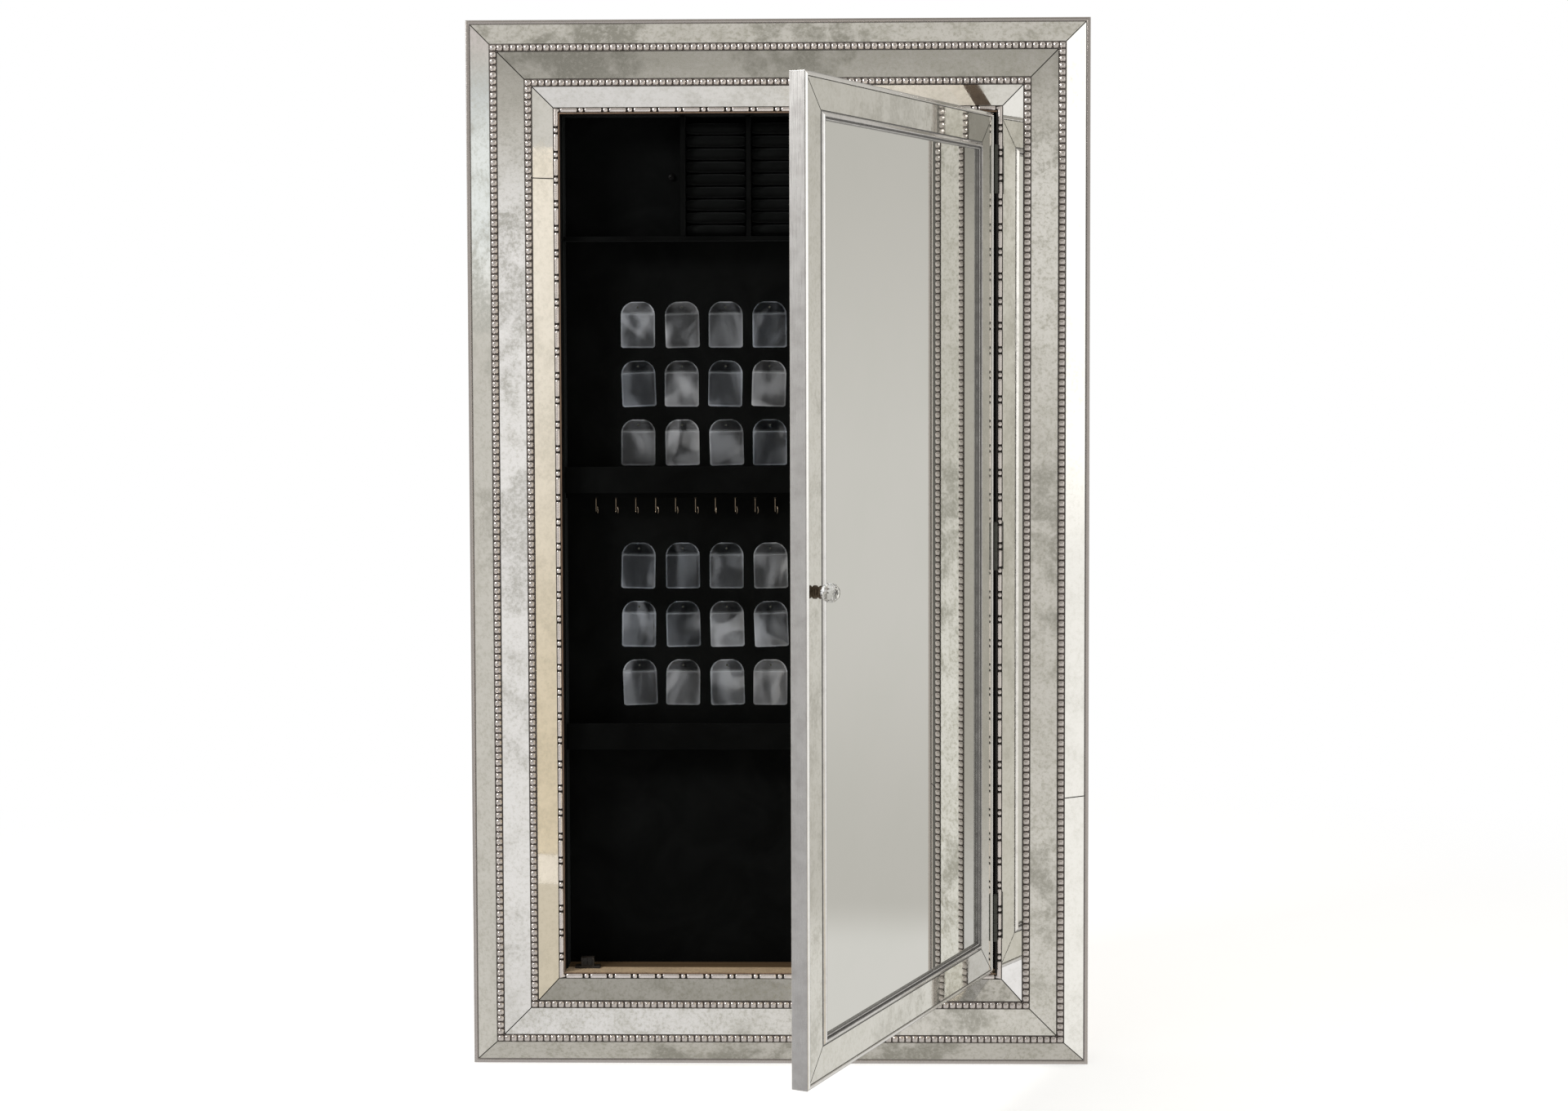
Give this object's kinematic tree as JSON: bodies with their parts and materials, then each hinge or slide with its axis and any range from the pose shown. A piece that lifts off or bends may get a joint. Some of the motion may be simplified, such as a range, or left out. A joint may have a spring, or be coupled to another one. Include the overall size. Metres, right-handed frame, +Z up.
{
  "type": "jewelry armoire",
  "caption": "Full-length shallow jewelry armoire with an antiqued mirror frame, beaded trim and a hinged mirror door over velvet-lined ring, pocket and hook storage.",
  "frame": {"origin": "centre of the case's underside, midway between the rim's face and the back", "axes": "+Z up the case, -Y out of the front, +X to the viewer's right"},
  "size_m": [1.168, 0.8367, 1.976],
  "materials": {
    "case_wood": "satin champagne paint over wood",
    "plywood": "bare plywood",
    "box_wood": "clear matt varnish",
    "frame_wood": "bare wood",
    "silver_rim": "brushed silver leaf over wood",
    "antique_mirror": "foxed and clouded silvering",
    "antique_silver": "silver leaf with dark glaze in the hollows, over cast resin",
    "black_velvet": "short black pile",
    "beige_panel": "pale matt lacquer over board",
    "velvet_board": "board covered in black velvet",
    "bronze_wire": "aged bronze plate",
    "clear_vinyl": "clear soft sheet",
    "nickel": "nickel plate",
    "catch_plastic": "matt dark brown",
    "hinge_steel": "brushed nickel",
    "door_silver": "satin silver paint over wood",
    "door_antique_mirror": "foxed and clouded silvering",
    "clear_mirror": "polished",
    "dark_bronze": "dark bronze plate",
    "crystal": "clear cut crystal"
  },
  "bodies": {
    "case": {"case_side_left": "case_wood", "case_side_right": "case_wood", "case_top": "case_wood", "case_bottom": "case_wood", "back_panel": "plywood", "box_side_left": "box_wood", "box_side_right": "box_wood", "box_top": "box_wood", "box_bottom": "box_wood", "corner_blocks": "plywood", "face_frame_left": "frame_wood", "face_frame_right": "frame_wood", "face_frame_top": "frame_wood", "face_frame_bottom": "frame_wood", "outer_rim": "silver_rim", "outer_mirror_left": "antique_mirror", "outer_mirror_right": "antique_mirror", "outer_mirror_top": "antique_mirror", "outer_mirror_bottom": "antique_mirror", "middle_mirror_left": "antique_mirror", "middle_mirror_right": "antique_mirror", "middle_mirror_top": "antique_mirror", "middle_mirror_bottom": "antique_mirror", "inner_mirror_left": "antique_mirror", "inner_mirror_right": "antique_mirror", "inner_mirror_top": "antique_mirror", "inner_mirror_bottom": "antique_mirror", "outer_bead_strip": "antique_silver", "inner_bead_strip": "antique_silver", "bead_and_reel_trim": "antique_silver", "back_liner": "black_velvet", "side_liners": "black_velvet", "ring_tray": "velvet_board", "ring_rolls": "black_velvet", "upper_shelf_tray": "velvet_board", "lower_shelf_tray": "velvet_board", "necklace_rail": "velvet_board", "necklace_hooks": "bronze_wire", "clear_pockets": "clear_vinyl", "pocket_pins": "nickel", "catch_body": "catch_plastic", "catch_poles": "nickel", "hinge_leaves_case": "hinge_steel", "hinge_pins": "hinge_steel", "hinge_screws_case": "hinge_steel"},
    "door": {"door_stile_left": "door_silver", "door_stile_right": "door_silver", "door_rail_top": "door_silver", "door_rail_bottom": "door_silver", "door_border_sides": "door_antique_mirror", "door_border_ends": "door_antique_mirror", "door_moulding": "door_silver", "door_mirror": "clear_mirror", "door_core": "plywood", "door_inner_panel": "beige_panel", "knob_base": "dark_bronze", "knob_crystal": "crystal", "strike_plate": "nickel", "hinge_leaves_door": "hinge_steel", "hinge_screws_door": "hinge_steel"}
  },
  "joints": [
    {"name": "door_hinge", "type": "hinge", "parent": "case", "child": "door", "pos_m": [0.407, -0.056, 0.988], "axis": [0, 0, 1], "range_deg": [-65, 45]}
  ]
}
